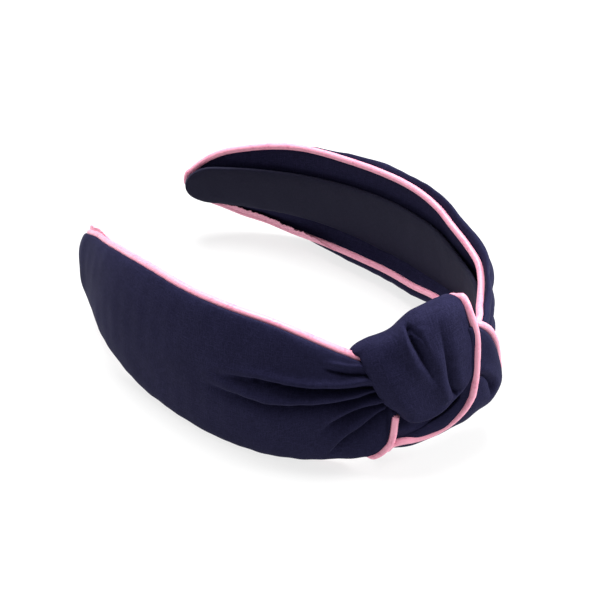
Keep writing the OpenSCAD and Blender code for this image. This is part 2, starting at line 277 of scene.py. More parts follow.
def facing(a, s, rise):
    """Facing [n, v] at share s of the way from the upper piping to the lower, rise in from it."""
    top = half_height(a) - PIPING_R * 0.7
    low = low_edge(a) - PIPING_R * 0.7
    across = 2 * s - 1
    middle = lift_at(a) - 0.6 - 1.3 * smooth((np.abs(a) - 100) / 30)
    edge = np.where(across < 0, section(a, 0, 0)[0], section(a, 1, 0)[0])
    n = middle + (edge - middle) * across ** 4 - rise
    return n, top - (top + low) * s


def sleeve_in(a):
    """n of the covered hoop's inner face."""
    return -3.6 - 1.6 * smooth((np.abs(a) - 100) / 30)


def sleeve_half(a):
    """Half height of the covered hoop, rounded off at its end."""
    size = np.abs(a)
    taper = SLEEVE_HALF + 3.2 * (smooth((size - 45) / 20) - smooth((size - 75) / 45))
    taper = taper - 1.5 * smooth((size - 110) / 35)
    taper = taper - 1.1 * smooth((38 - a) / 12) * smooth((a + 10) / 12)
    along = np.clip((size - (SLEEVE_END - 11)) / 11, 0, 0.995)
    return taper * np.sqrt(1 - along * along)


# ---- Mesh builders ----

def grid_faces(rows, cols, ring=False, turned=False):
    """Quads of a grid of points; ring joins the last row to the first."""
    i = np.arange(rows if ring else rows - 1)[:, None]
    j = np.arange(cols - 1)[None, :]
    below = ((i + 1) % rows) * cols + j
    quads = np.stack([i * cols + j, i * cols + j + 1, below + 1, below], -1).reshape(-1, 4)
    return quads[:, ::-1] if turned else quads


def make_mesh(name, points, faces, uv, material):
    """A mesh object from points in millimetres, with the uv of each point in millimetres."""
    mesh = bpy.data.meshes.new(name)
    mesh.from_pydata((points * MM).tolist(), [], faces.tolist())
    layer = mesh.uv_layers.new(name="cloth")
    corners = np.empty(len(mesh.loops), np.int64)
    mesh.loops.foreach_get("vertex_index", corners)
    layer.data.foreach_set("uv", (uv[corners] * MM).astype(np.float32).ravel())
    mesh.shade_smooth()
    mesh.materials.append(material)
    piece = bpy.data.objects.new(name, mesh)
    bpy.context.scene.collection.objects.link(piece)
    return piece


def threads(name, paths, radius, material):
    """Several thin round threads along paths, joined into one mesh."""
    points, faces, uvs, count = [], [], [], 0
    turn = np.linspace(0, 2 * math.pi, 7)[:-1]
    for path in paths:
        ahead = np.gradient(path, axis=0)
        ahead /= np.linalg.norm(ahead, axis=1)[:, None] + 1e-9
        side = np.cross(ahead, [0.3, 0.2, 1.0])
        side /= np.linalg.norm(side, axis=1)[:, None] + 1e-9
        lift = np.cross(side, ahead)
        ring = (path[:, None] + radius * (np.cos(turn)[None, :, None] * side[:, None]
                                          - np.sin(turn)[None, :, None] * lift[:, None]))
        rows, cols = ring.shape[:2]
        for i in range(rows - 1):
            for j in range(cols):
                k = (j + 1) % cols
                faces.append([count + i * cols + j, count + i * cols + k,
                              count + (i + 1) * cols + k, count + (i + 1) * cols + j])
        faces.append([count + j for j in range(cols)][::-1])
        faces.append([count + (rows - 1) * cols + j for j in range(cols)])
        points.append(ring.reshape(-1, 3))
        uvs.append(np.stack(np.meshgrid(np.arange(rows), turn, indexing="ij"), -1).reshape(-1, 2))
        count += rows * cols
    return make_mesh(name, np.concatenate(points), np.array(faces, dtype=object),
                     np.concatenate(uvs), material)


def grid_uv(grid):
    """Distances along the rows and columns of a grid of points."""
    down = np.linalg.norm(np.diff(grid, axis=0), axis=2).mean(1)
    across = np.linalg.norm(np.diff(grid, axis=1), axis=2).mean(0)
    u = np.concatenate([[0], np.cumsum(down)])
    v = np.concatenate([[0], np.cumsum(across)])
    return np.stack(np.meshgrid(u, v, indexing="ij"), -1).reshape(-1, 2)


def thick_sheet(name, front, back, material, ring=False):
    """Closed sheet between two grids of points, front facing out."""
    rows, cols = front.shape[:2]
    count = rows * cols
    faces = [grid_faces(rows, cols, ring), grid_faces(rows, cols, ring, True) + count]
    i = np.arange(rows if ring else rows - 1)
    j = np.arange(cols - 1)
    after = ((i + 1) % rows) * cols
    edge = i * cols
    faces.append(np.stack([edge, after, after + count, edge + count], -1))
    faces.append(np.stack([after, edge, edge + count, after + count], -1) + cols - 1)
    if not ring:
        faces.append(np.stack([j + 1, j, j + count, j + 1 + count], -1))
        faces.append(np.stack([j, j + 1, j + 1 + count, j + count], -1) + (rows - 1) * cols)
    points = np.concatenate([front.reshape(-1, 3), back.reshape(-1, 3)])
    uv = np.tile(grid_uv(front), (2, 1))
    return make_mesh(name, points, np.concatenate(faces), uv, material)


def tube(name, path, radius, material, sides=16, twist=0.0, wobble=0.0, seed=0):
    """Round cord along path, with rounded ends and satin puckers of height wobble."""
    path = np.asarray(path, float)
    ahead = np.gradient(path, axis=0)
    ahead /= np.linalg.norm(ahead, axis=1)[:, None]
    side = np.cross(ahead, [0.12, 0.08, 1.0])
    side /= np.linalg.norm(side, axis=1)[:, None]
    lift = np.cross(side, ahead)
    steps = np.linalg.norm(np.diff(path, axis=0), axis=1)
    along = np.concatenate([[0], np.cumsum(steps)])
    ends = np.minimum(along, along[-1] - along)
    radius = np.broadcast_to(radius, along.shape) * np.sqrt(np.clip(ends / 0.9, 0.05, 1))
    turn = np.linspace(0, 2 * math.pi, sides + 1)
    grain = ripple(along[:, None] + twist * turn[None], 3 * turn[None], 3.2, seed)
    size = radius[:, None] + wobble * grain
    size[:, -1] = size[:, 0]
    rings = (path[:, None] + size[..., None] * (np.cos(turn)[None, :, None] * side[:, None]
                                              - np.sin(turn)[None, :, None] * lift[:, None]))
    rows, cols = rings.shape[:2]
    faces = grid_faces(rows, cols)
    points = rings.reshape(-1, 3)
    uv = np.stack(np.meshgrid(along, turn * PIPING_R, indexing="ij"), -1).reshape(-1, 2)
    count = len(points)
    points = np.concatenate([points, path[:1], path[-1:]])
    uv = np.concatenate([uv, uv[:1], uv[-1:]])
    last = (rows - 1) * cols
    mesh_faces = faces.tolist() + [[i + 1, i, count] for i in range(cols - 1)]
    mesh_faces += [[last + i, last + i + 1, count + 1] for i in range(cols - 1)]
    return make_mesh(name, points, np.array(mesh_faces, dtype=object), uv, material)


# ---- Materials ----

def new_material(name, color, roughness, **sockets):
    """A Principled material and helpers to add nodes to it."""
    material = bpy.data.materials.new(name)
    material.use_nodes = True
    shader = material.node_tree.nodes["Principled BSDF"]
    shader.inputs["Base Color"].default_value = (*color, 1)
    shader.inputs["Roughness"].default_value = roughness
    for socket, value in sockets.items():
        shader.inputs[socket.replace("_", " ")].default_value = value
    material.diffuse_color = (*color, 1)
    return material, shader


def node(material, kind, links=None, **values):
    """Adds a node, sets its properties and sockets, and links its inputs from other sockets."""
    made = material.node_tree.nodes.new(kind)
    for key, value in values.items():
        if key in made.bl_rna.properties:
            setattr(made, key, value)
        else:
            made.inputs[key.replace("_", " ")].default_value = value
    for key, source in (links or {}).items():
        material.node_tree.links.new(source, made.inputs[key])
    return made


def ramp(material, source, low, high, dark, light):
    """A colour ramp from dark at low to light at high."""
    made = node(material, "ShaderNodeValToRGB", {"Fac": source})
    made.color_ramp.elements[0].position = low
    made.color_ramp.elements[1].position = high
    made.color_ramp.elements[0].color = (*dark, 1)
    made.color_ramp.elements[1].color = (*light, 1)
    return made.outputs["Color"]


def weave(material, pitch):
    """Height of a crepe weave: uneven threads both ways, pitch metres apart, and a fine grain."""
    uv = node(material, "ShaderNodeTexCoord").outputs["UV"]
    across, along = 1 / pitch, 0.16 / pitch
    slubs = []
    for scale in ((across, along, 1), (along, across, 1)):
        stretched = node(material, "ShaderNodeMapping", {"Vector": uv})
        stretched.inputs["Scale"].default_value = scale
        slub = node(material, "ShaderNodeTexNoise", {"Vector": stretched.outputs[0]}, Scale=1.0, Detail=1.0)
        slubs.append(slub.outputs["Fac"])
    woven = node(material, "ShaderNodeMath", {0: slubs[0], 1: slubs[1]}, operation="MAXIMUM")
    grain = node(material, "ShaderNodeTexNoise", {"Vector": uv}, Scale=1.3 / pitch, Detail=2.0)
    height = node(material, "ShaderNodeMath", {0: woven.outputs[0], 1: grain.outputs["Fac"]},
                  operation="MULTIPLY")
    return uv, height.outputs[0]


def crepe_material():
    """Matt navy crepe."""
    material, shader = new_material("navy_crepe", (0.012, 0.013, 0.032), 0.78,
                                    Sheen_Weight=0.03, Sheen_Roughness=0.4,
                                    Sheen_Tint=(0.45, 0.45, 0.95, 1), Specular_IOR_Level=0.06)
    uv, height = weave(material, 0.00042)
    broad = node(material, "ShaderNodeTexNoise", {"Vector": uv}, Scale=45.0, Detail=3.0)
    mixed = node(material, "ShaderNodeMath", {0: broad.outputs["Fac"], 1: height}, operation="MULTIPLY_ADD")
    mixed.inputs[1].default_value = 0.35
    material.node_tree.links.new(height, mixed.inputs[2])
    color = ramp(material, mixed.outputs[0], 0.25, 0.65, (0.0090, 0.0086, 0.0285), (0.0200, 0.0190, 0.0550))
    links = material.node_tree.links
    links.new(color, shader.inputs["Base Color"])
    bump = node(material, "ShaderNodeBump", {"Height": height}, Strength=0.5, Distance=0.0002)
    links.new(bump.outputs["Normal"], shader.inputs["Normal"])
    return material


def lining_material():
    """Dark lining with a fine weave."""
    material, shader = new_material("dark_lining", (0.012, 0.012, 0.022), 0.62,
                                    Sheen_Weight=0.03, Sheen_Roughness=0.4,
                                    Sheen_Tint=(0.4, 0.4, 0.9, 1), Specular_IOR_Level=0.06)
    _, height = weave(material, 0.00026)
    color = ramp(material, height, 0.15, 0.45, (0.0120, 0.0118, 0.0260), (0.0195, 0.0190, 0.0390))
    links = material.node_tree.links
    links.new(color, shader.inputs["Base Color"])
    bump = node(material, "ShaderNodeBump", {"Height": height}, Strength=0.3, Distance=0.0001)
    links.new(bump.outputs["Normal"], shader.inputs["Normal"])
    return material


def satin_material():
    """Pink satin, puckered on the slant, with painted shade in the low parts of the puckers."""
    material, shader = new_material("pink_satin", (0.85, 0.25, 0.43), 0.4,
                                    Sheen_Weight=0.25, Sheen_Roughness=0.3,
                                    Sheen_Tint=(1.0, 0.8, 0.88, 1), Specular_IOR_Level=0.5)
    uv = node(material, "ShaderNodeTexCoord").outputs["UV"]
    slant = node(material, "ShaderNodeMapping", {"Vector": uv})
    slant.inputs["Rotation"].default_value = (0, 0, math.radians(38))
    fine = node(material, "ShaderNodeTexNoise", {"Vector": slant.outputs[0]}, Scale=900.0, Detail=2.0)
    folds = node(material, "ShaderNodeTexNoise", {"Vector": slant.outputs[0]}, Scale=160.0, Detail=2.0)
    height = node(material, "ShaderNodeMath", {0: fine.outputs["Fac"], 1: folds.outputs["Fac"]},
                  operation="ADD")
    # Colour ramp on the pucker height: darker pink in the low parts is painted shade in the wrinkles
    color = ramp(material, height.outputs[0], 0.6, 1.4, (0.72, 0.20, 0.33), (0.86, 0.35, 0.47))
    links = material.node_tree.links
    links.new(color, shader.inputs["Base Color"])
    bump = node(material, "ShaderNodeBump", {"Height": height.outputs[0]}, Strength=0.3,
                Distance=0.0002)
    links.new(bump.outputs["Normal"], shader.inputs["Normal"])
    return material


def plain_material(name, color, roughness, scale, depth):
    """Plastic, thread or wadding: one colour with a fine mottled grain."""
    material, shader = new_material(name, color, roughness)
    place = node(material, "ShaderNodeTexCoord").outputs["Object"]
    grain = node(material, "ShaderNodeTexNoise", {"Vector": place}, Scale=scale, Detail=4.0)
    dark = [c * 0.8 for c in color]
    light = [min(1, c * 1.15) for c in color]
    links = material.node_tree.links
    links.new(ramp(material, grain.outputs["Fac"], 0.3, 0.7, dark, light), shader.inputs["Base Color"])
    bump = node(material, "ShaderNodeBump", {"Height": grain.outputs["Fac"]}, Strength=0.4,
                Distance=depth)
    links.new(bump.outputs["Normal"], shader.inputs["Normal"])
    return material


crepe = crepe_material()
lining = lining_material()
satin = satin_material()
raw_satin = plain_material("raw_satin", (0.86, 0.38, 0.50), 0.75, 1500.0, 0.0003)
thread = plain_material("dark_thread", (0.012, 0.012, 0.022), 0.7, 2500.0, 0.0001)
plastic = plain_material("moulded_plastic", (0.8, 0.8, 0.77), 0.45, 900.0, 0.00004)
wadding = plain_material("white_wadding", (0.85, 0.85, 0.82), 0.95, 500.0, 0.0006)


# ---- Sash arms ----

# Pleats of each arm, gathered into the knot: (hoop angle, share down the section) points, depth and
# width. The near arm's are traced
LEFT_PLEATS = [
    ([(-56, 0.245), (-51.3, 0.24), (-47.3, 0.226), (-44, 0.2), (-40, 0.17)], 3.8, 0.8),
    ([(-84, 0.38), (-76, 0.37), (-68.5, 0.358), (-62.2, 0.372), (-57.2, 0.384), (-52.2, 0.376),
      (-45.8, 0.342), (-42.2, 0.308), (-38, 0.28)], 6.2, 0.8),
    ([(-87, 0.43), (-78, 0.44), (-70.7, 0.446), (-66.3, 0.45), (-60.7, 0.46), (-54.5, 0.466),
      (-49.5, 0.446), (-44.4, 0.41), (-41.1, 0.368), (-37, 0.33)], 6.0, 0.95),
    ([(-55, 0.59), (-51.8, 0.56), (-48.1, 0.524), (-44.3, 0.49), (-40.4, 0.452), (-36, 0.41)], 6.2, 0.95),
    ([(-53, 0.77), (-51.3, 0.736), (-49.7, 0.688), (-47.2, 0.638), (-44.1, 0.602), (-40.9, 0.554),
      (-38, 0.512), (-36, 0.49)], 6.8, 1.2)]
RIGHT_PLEATS = [
    ([(6, 0.30), (30, 0.28), (48, 0.26)], 1.6, 1.4),
    ([(6, 0.42), (34, 0.42), (60, 0.42)], 2.0, 1.5),
    ([(6, 0.55), (30, 0.58), (52, 0.60)], 1.7, 1.4),
    ([(6, 0.68), (26, 0.72), (44, 0.76)], 1.4, 1.3)]


def pleats(a, s, lines):
    """Height change of the gathers: each valley has a steep upper lip and a gentle lower side."""
    tall = GIRTH * half_height(a)
    change = 0
    for points, depth, width in lines:
        points = sorted(points)
        first, last = points[0][0], points[-1][0]
        far, near = (first, last) if abs(first) > abs(last) else (last, first)
        across = (s - through(a, points)) * tall
        grow = smooth(2.4 * (far - a) / (far - near))
        valley = np.exp(-np.abs(across) / width * np.where(across > 0, 1.2, 1.8))
        ridge = np.exp(-((across + 1.8 * width) / (1.4 * width)) ** 2)
        change = change + depth * grow * (0.3 * ridge - valley)
    return change


def outer_rise(a, s, left):
    """How far the outer panel stands out of its smooth section."""
    x = arc_length(a)
    y = s * GIRTH * half_height(a)
    seam = np.minimum(s, 1 - s) * GIRTH * half_height(a)
    pucker = 0.16 * ripple(x, 0.2 * y, 3.4, 11 if left else 12) * np.exp(-seam / 2.6)
    pucker = pucker * (1 - 0.8 * smooth((np.abs(a) - 118) / 16))
    puff = 0.35 * ripple(0.6 * x, y, 26, 21 if left else 22) + 0.12 * ripple(x, y, 9, 31)
    face = smooth(seam / 4)
    return pucker + puff * face + pleats(a, s, LEFT_PLEATS if left else RIGHT_PLEATS) * face


def arm_angles(inner, outer, steps):
    """Hoop angles along an arm and, past its end, the share of the rounding that closes it."""
    mouth = np.linspace(inner, KNOT_MOUTH, 80)[:-1] if outer < 0 else []
    start = KNOT_MOUTH if outer < 0 else inner
    a = np.concatenate([mouth, np.linspace(start, math.copysign(SASH_END, outer), steps)])
    close = np.linspace(0, 1, 9)[1:]
    past_end = math.copysign(1, outer) * (SASH_END + CLOTH_ROUND * np.sin(close * math.pi / 2))
    return np.concatenate([a, past_end]), np.concatenate([np.zeros(len(a)), close])


def arm_sheet(name, left, shape, thick, steps, cols, material, inward=False):
    """One cloth of an arm's sash, from under the knot to its rounded tip; inward faces the hoop."""
    angles, close = arm_angles(UNDER_KNOT, -1 if left else 1, steps)
    s = np.linspace(0, 1, cols)
    a, s = np.meshgrid(angles, s, indexing="ij")
    shrink = np.cos(close * math.pi / 2)[:, None]
    body = np.clip(a, -SASH_END, SASH_END)
    grids = []
    for depth in (0, thick):
        n, v = shape(body, s, depth)
        n = -0.6 + (n + 0.6) * shrink
        v = v * (0.3 + 0.7 * shrink)
        grids.append(at(a, n, v))
    front, back = grids
    if left != inward:
        front, back = front[:, ::-1], back[:, ::-1]
    return thick_sheet(name, front, back, material)


def outer_panel(left):
    """Gathered outer cloth of an arm."""
    def shape(a, s, depth):
        return section(a, s, outer_rise(a, s, left) - depth)
    name = "outer_panel_left" if left else "outer_panel_right"
    return arm_sheet(name, left, shape, CLOTH, 230, 120, crepe)


def facing_panel(left):
    """Inner cloth of an arm, between its wadding and the covered hoop."""
    def shape(a, s, depth):
        x = arc_length(a)
        seam = np.minimum(s, 1 - s) * 2 * half_height(a)
        pucker = 0.2 * ripple(x, 0.2 * seam, 4.2, 41 if left else 42) * np.exp(-seam / 3.5)
        return facing(a, s, pucker * smooth(seam / 1.0) - depth)
    name = "facing_panel_left" if left else "facing_panel_right"
    return arm_sheet(name, left, shape, CLOTH, 200, 70, crepe, inward=True)


def edge_line(a, low):
    """Centre line of a piping, tucked inside the outer panel's edge."""
    n, v = section(a, 1.0 if low else 0.0, 0)
    turned = math.radians(65) * under_roll(a) if low else 0 * a
    away = PIPING_R + SEAM_GAP
    return at(a, n - away * np.cos(turned), v + away * np.sin(turned))


def curl_line(a):
    """Centre line of the near lower piping by the knot, outside the cloth's curled edge."""
    n, v = section(a, 1.0, 0)
    x = arc_length(a)
    size = np.hypot(np.gradient(x), np.gradient(v))
    down = np.abs(np.gradient(x)) / size
    ahead = np.abs(np.gradient(v)) / size
    return at(a + 1.3 * ahead / PER_DEGREE, n + 0.3, v - 1.3 * down)


def tip_turn(start, sign, low):
    """The piping's path round the rounded end of an arm, from the end of its edge."""
    if low:
        sweep = 28
    else:
        sweep = 74 if sign < 0 else 104
    turn = np.radians(np.linspace(4, sweep, 30))
    top = start[2] - MID
    n = 0.4 - PIPING_R
    first = at(sign * SASH_END, n, top)
    bend = at(sign * (SASH_END + PIPING_ROUND * np.sin(turn)), n, top * np.cos(turn))
    return bend + (start - first) * np.cos(turn)[:, None]


def piping(left, low):
    """Satin cord along one edge of an arm."""
    sign = -1 if left else 1
    inner = -6
    if left:
        inner = -35.8 if low else -24
    a = inner + (sign * SASH_END - inner) * np.linspace(0, 1, 440) ** 1.35
    path = edge_line(a, low)
    if left and low:
        path = path + (curl_line(a) - path) * smooth((a + 43) / 2.5)[:, None]
    path = np.concatenate([path, tip_turn(path[-1], sign, low)])
    side = "left" if left else "right"
    name = f"piping_{'lower' if low else 'upper'}_satin_{side}"
    radius = NEAR_UPPER_SATIN_R if left and not low else SATIN_R
    return tube(name, path, radius, satin, 18, 0.6, 0.02, 51 + 2 * left + low)


def flange(left):
    """Raw edge of the piping's satin: above the upper piping at the left tip, and on the lower one
    at the right tip."""
    sign, low = (-1, False) if left else (1, True)
    a = sign * (np.linspace(116, 147.5, 170) if left else np.linspace(98, 136, 200))
    share = np.linspace(0, 1, 9)
    a, share = np.meshgrid(a, share, indexing="ij")
    x = arc_length(a)
    ends = smooth((np.abs(a) - np.abs(a[0, 0])) / (26 if left else 10))
    ends = ends if left else ends * smooth((138 - a) / 8)
    uneven = 0.06 if left else 0.16
    fray = 1 + uneven * (ripple(x, 0 * x, 2.2, 91) + 0.7 * ripple(x, 0 * x, 0.7, 92))
    wide = (2.5 if left else 2.2) * ends * fray + 0.15
    n, v = section(np.clip(a, -SASH_END, SASH_END), 1.0 if low else 0.0, 0)
    n = n - PIPING_R * (1.4 if left else 2.0) + 0.12 * ripple(x, 4 * share, 3.0, 93) * share
    v = v + (0.8 if low else 0.5) + wide * share
    front = at(a, n + 0.15, v)
    back = at(a, n - 0.15, v)
    if not left:
        front, back = front[:, ::-1], back[:, ::-1]
    return thick_sheet("raw_edge_left" if left else "raw_edge_right", front, back, raw_satin)


def stitches(name, cord_points, radius):
    """A row of short stitches as one piece: each a small bowed thread between two points."""
    rows = []
    for start, end, bow in cord_points:
        share = np.linspace(0, 1, 7)[:, None]
        rows.append(start + (end - start) * share + bow * np.sin(math.pi * share))
    return threads(name, rows, radius, thread)


def tip_stitches(left):
    """Slip stitches that close the sleeve's end onto the facing."""
    sign = -1 if left else 1
    made = []
    for level in np.linspace(-6.5, 6.5, 8):
        a = sign * (SASH_END - 1.5 - 0.05 * level * level)
        inner = at(a, sleeve_in(a) + SLEEVE_THICK * 0.9, level)
        outer = at(a - sign * 1.2, facing(a, 0.5, 0.1)[0], level + 0.8)
        made.append((inner, outer, at(a, -0.2, level) - at(a, 0, level)))
    return stitches("tip_thread_left" if left else "tip_thread_right", made, 0.16)


def sleeve(left):
    """Covered hoop with its rounded end, as a closed sock of lining."""
    sign = -1 if left else 1
    end = np.linspace(0, 1, 60)
    a = UNDER_KNOT + (sign * SLEEVE_END - UNDER_KNOT) * np.concatenate(
        [np.linspace(0, 0.9, 170), 0.9 + 0.1 * (1 - (1 - end[1:]) ** 2)])
    turn = np.linspace(0, 2 * math.pi, 49)
    a, g = np.meshgrid(a, turn, indexing="ij")
    half = sleeve_half(a)
    x = arc_length(a)
    c, s = np.cos(g), np.sin(g)
    wrinkle = 0.10 * ripple(x, half * s, 14, 61) + 0.05 * ripple(x, half * s, 5, 62)
    n = sleeve_in(a) + SLEEVE_THICK / 2 * (1 + np.sign(c) * np.abs(c) ** 0.55) - wrinkle * (c < 0)
    v = half * np.sign(s) * np.abs(s) ** 0.5
    rings = at(a, n, v)
    if left:
        rings = rings[:, ::-1]
    rows, cols = rings.shape[:2]
    count = rows * cols
    points = np.concatenate([rings.reshape(-1, 3), rings[:1].mean(1), rings[-1:].mean(1)])
    uv = grid_uv(rings)
    uv = np.concatenate([uv, uv[:1], uv[-1:]])
    faces = grid_faces(rows, cols).tolist()
    faces += [[j + 1, j, count] for j in range(cols - 1)]
    faces += [[(rows - 1) * cols + j, (rows - 1) * cols + j + 1, count + 1] for j in range(cols - 1)]
    name = "lining_sleeve_left" if left else "lining_sleeve_right"
    return make_mesh(name, points, np.array(faces, dtype=object), uv, lining)


def padding(left):
    """Wadding that fills an arm between its facing and its outer panel."""
    sign = -1 if left else 1
    a = np.linspace(-45 if left else 46, sign * (SASH_END - 3), 120)
    first, last = 0.06, 0.94
    s = np.linspace(first, last, 40)
    a, s = np.meshgrid(a, s, indexing="ij")
    slack = 6.6 * smooth((a + 92) / 14) if left else 2.4 * smooth((76 - a) / 16)
    n_out, v_out = section(a, s, -CLOTH - 0.6 - slack * smooth((bulge_at(a) - 1) / 2))
    n_in, v_in = facing(a, s, -CLOTH - 0.3)
    n_out = np.maximum(n_out, n_in + 0.4)
    thick = smooth(np.minimum(s - first, last - s) / 0.05)
    front = at(a, n_in + (n_out - n_in) * thick + 0.1, v_in + (v_out - v_in) * thick)
    back = at(a, n_in, v_in)
    if left:
        front, back = front[:, ::-1], back[:, ::-1]
    name = "wadding_left" if left else "wadding_right"
    return thick_sheet(name, front, back, wadding)


# ---- Knot ----

# Edges of the wrap, traced: (place along the wrap, turn round the hoop, hoop angle) points. Turn 0 is
# the top, 90 the outer side, 180 the bottom and 270 the inner side
WRAP_LEFT = [(-90, -90, -42), (-30, -30, -47), (-6, -6, -48), (14, 14, -45.4), (38, 38, -44),
             (58, 58, -42.1), (72, 72, -40.3), (84, 84, -38.1), (91, 91, -35.9), (100, 100, -35.9),
             (120, 120, -38), (160, 160, -41), (200, 200, -41), (270, 270, -42)]
WRAP_RIGHT = [(-90, -90, -15), (-30, -30, -10), (0, 0, -9.4), (31, 31, -9.9), (52, 52, -9.5),
              (69, 69, -10.4), (84, 84, -11.5), (93, 93, -12.7), (103, 109, -14.9), (111, 122, -17.4),
              (118, 134, -20.6), (124, 139, -24.5), (130, 139, -28.7), (136, 136, -32.3),
              (142, 136, -34.6), (165, 158, -37), (200, 200, -34), (270, 270, -15)]
# Edge of the second strand, traced and retuned: (turn round the hoop, hoop angle) points
STRAND_RIGHT = [(42, -8.2), (46, -6.2), (52, -3.6), (62, -0.9), (70, 0.8), (78, 2.2), (88, 4.6), (100, 6),
                (140, 6), (180, 4), (250, -2)]

# Half heights and half depths of the knot's ring: (hoop angle, size) points, fitted and retuned apart
# from KNOT_IN
KNOT_TOP = [(-48, 20), (-40, 22.8), (-34.5, 25.2), (-31.5, 27.8), (-28, 30.2), (-24, 31.4), (-19, 31.9),
            (-14, 32.8), (-6, 33.5)]
KNOT_BOTTOM = [(-36, 19.7), (-26, 18.6), (-14, 15.6), (0, 12.8), (8, 11)]
KNOT_OUT = [(-40, 6.9), (-25, 6.4), (-10, 8.8), (0, 9.8), (7, 7.5)]
KNOT_IN = [(-40, 10), (-20, 12), (-8, 13)]

# Folds of the wrap on its outer side, traced: (hoop angle, height) points, depth, width and the sign
# of the side that slopes gently
WRAP_FOLDS = [
    ([(-31.2, 28.5), (-30.8, 26.5), (-30.2, 25), (-28.8, 22.2), (-27.4, 18.8), (-25.6, 15), (-24.2, 11.7),
      (-23, 9)], 4.4, 0.8, 1),
    ([(-31, 28.8), (-29.6, 27.6), (-27.9, 26.5), (-27, 24.5), (-26.4, 22)], 1.3, 0.5, 1),
    ([(-17.4, 3.4), (-18, 5), (-19.2, 9), (-20, 15), (-20.8, 21.7), (-21.6, 27.8), (-22, 32)],
     2.6, 1.0, -1)]
# Lower edge of the wrap's lobe, traced and retuned: (hoop angle, height) points
UNDER_FOLD = [(-41, 3), (-37, 0), (-34.2, -2.6), (-32.2, -4.4), (-30.4, -5.2), (-26.8, -5.4),
              (-23.2, -4.3), (-20.2, -2.7), (-17.6, -0.9), (-15.6, 0.3), (-13.4, 2.1), (-11.4, 5),
              (-9.0, 8.6)]
# Fold of the second strand, traced: (distance round the crown, height) points in millimetres
STRAND_FOLD = [(-10, 7.8), (-7, 5.3), (-5, 1.9), (-4.5, -1), (-4.6, -5)]


def knot_ring(a, turn):
    """The ring's own n and v, and its half height and half depth, where the hoop is at angle a."""
    t = np.radians(turn)
    c, s = np.cos(t), np.sin(t)
    half = np.where(c > 0, through(a, KNOT_TOP), through(a, KNOT_BOTTOM))
    deep = np.where(s > 0, through(a, KNOT_OUT), through(a, KNOT_IN))
    square = np.where(c > 0, 0.85, 1)
    n = deep * np.sign(s) * np.abs(s) ** square
    v = half * np.sign(c) * np.abs(c) ** (0.4 + 0.6 * square)
    return n, v, half, deep


def knot_point(a, turn, rise):
    """Point on the knot at hoop angle a and turn round the hoop, rise out of its plain ring."""
    t = np.radians(turn)
    n, v, half, deep = knot_ring(a, turn)
    # The outward normal of an ellipse with the ring's size
    size = np.hypot(np.sin(t) / deep, np.cos(t) / half)
    n = n + rise * np.sin(t) / deep / size
    v = v + rise * np.cos(t) / half / size
    return at(a, n, v)


def round_edge(distance, radius):
    """0 at an edge, rising like a quarter circle to 1 at radius inside it."""
    inside = np.clip(distance / radius, 0, 1)
    return np.sqrt(1 - (1 - inside) ** 2)


def wrap_at(u, share):
    """Turn and hoop angle of the wrap at u along it and share of the way across it."""
    ends = []
    for line in (WRAP_LEFT, WRAP_RIGHT):
        turns = through(u, [(point[0], point[1]) for point in line])
        ends.append((turns, through(u, [(point[0], point[2]) for point in line])))
    (turn_left, left), (turn_right, right) = ends
    return turn_left + (turn_right - turn_left) * share, left + (right - left) * share, right - left


def wrap_rise(a, turn, share, wide):
    """How far the wrap stands out of the knot's plain ring."""
    x = a * PER_DEGREE
    v = knot_ring(a, turn)[1]
    outside = smooth((np.sin(np.radians(turn)) + 0.25) / 0.5)
    puff = 2.2 * smooth(share * wide / 6) * smooth((1 - share) * wide / 11) + 0.25 * ripple(x, v, 13, 71)
    left_roll = 2.4 * (round_edge(share * wide, 3.0) - 1)
    right_roll = 1.0 * (round_edge((1 - share) * wide, 2.2) - 1)
    folds = 0
    for points, depth, width, way in WRAP_FOLDS:
        line = [(px * PER_DEGREE, py) for px, py in points]
        far, along = from_line(x, v, line)
        grow = smooth((1 - along) / 0.75) * smooth(along / 0.06)
        valley = np.exp(-np.abs(far) / width * np.where(far * way > 0, 0.7, 1.5))
        ridge = np.exp(-((far * way + 2.4) / 2.0) ** 2) + 0.5 * np.exp(-((far * way - 3.2) / 1.8) ** 2)
        folds = folds + depth * grow * (0.3 * ridge - valley)
    line = [(px * PER_DEGREE, py) for px, py in UNDER_FOLD]
    far, along = from_line(x, v, line)
    above = round_edge(far, 2.8)
    tucked = -4.7 + 3.4 * smooth((-far - 1.2) / 4)
    main = puff + left_roll + folds * outside
    low = np.where(far > 0, 1.0, 0.0)
    outer = tucked + (main - tucked) * above * low
    return outside * (outer + right_roll) + (1 - outside) * (puff * 0.5 + left_roll + right_roll)


def ring_turns(start, end, count):
    """Turns round the knot, closer together at the top and bottom, where the ring is tight."""
    fine = np.linspace(start, end, 4000)
    t = np.radians(fine)
    speed = np.hypot(14 * np.cos(t), 30 * np.sin(t)) + 4
    total = np.concatenate([[0], np.cumsum((speed[1:] + speed[:-1]) / 2)])
    return np.interp(np.linspace(0, total[-1], count), total, fine)


def wrap():
    """Wide strand over the crown."""
    turns = ring_turns(-90, 270, 321)[:-1]
    share = np.linspace(0, 1, 110)
    u, share = np.meshgrid(turns, share, indexing="ij")
    turn, a, wide = wrap_at(u, share)
    rise = wrap_rise(a, turn, share, wide * PER_DEGREE)
    front = knot_point(a, turn, rise)
    back = knot_point(a, turn, rise - CLOTH)
    return thick_sheet("knot_wrap_crepe", front[:, ::-1], back[:, ::-1], crepe, ring=True)


def wrap_piping():
    """Satin cord along the wrap's right edge."""
    turns, a, _ = wrap_at(np.linspace(-88, 266, 450), 1.0)
    path = knot_point(a + 0.9, turns, -0.2 - 1.6 * smooth((6 - turns) / 14))
    return tube("knot_wrap_satin", path, SATIN_R, satin, 18, 0.6, 0.02, 81)


